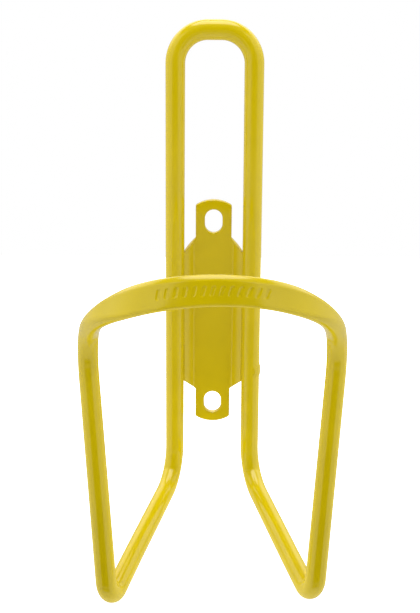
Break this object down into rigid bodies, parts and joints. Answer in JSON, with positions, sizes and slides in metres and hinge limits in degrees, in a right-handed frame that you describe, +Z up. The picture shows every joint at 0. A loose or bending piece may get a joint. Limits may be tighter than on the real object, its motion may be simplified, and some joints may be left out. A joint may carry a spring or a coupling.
{
  "type": "bicycle bottle cage",
  "caption": "Bottle holder bent from one aluminium tube, with a pressed flat front band and a welded backing plate with slots for frame bosses.",
  "frame": {"origin": "centre of the backing plate's flat back face, midway between the two bolt slots", "axes": "+Y out of the back face towards the bicycle's frame tube, +Z up along the uprights to the top loop, +X to the right of someone facing the cage's front band"},
  "size_m": [0.081, 0.0733, 0.1696],
  "materials": {
    "tube_paint": "glossy yellow powder coat on aluminium tube",
    "plate_paint": "glossy yellow powder coat on pressed aluminium sheet",
    "weld_paint": "glossy yellow powder coat over a weld bead"
  },
  "bodies": {
    "root": {"top_loop": "tube_paint", "left_upright": "tube_paint", "right_upright_above_weld": "tube_paint", "tube_closing_weld": "weld_paint", "right_upright_below_weld": "tube_paint", "right_lower_bend": "tube_paint", "left_lower_bend": "tube_paint", "right_bottom_rod": "tube_paint", "left_bottom_rod": "tube_paint", "right_foot_bend": "tube_paint", "left_foot_bend": "tube_paint", "right_side_rod": "tube_paint", "left_side_rod": "tube_paint", "right_shoulder_bend": "tube_paint", "left_shoulder_bend": "tube_paint", "right_band_transition": "tube_paint", "left_band_transition": "tube_paint", "front_band": "tube_paint", "backing_plate": "plate_paint", "upper_left_stitch_weld": "weld_paint", "lower_left_stitch_weld": "weld_paint", "upper_right_stitch_weld": "weld_paint", "lower_right_stitch_weld": "weld_paint"}
  },
  "joints": []
}
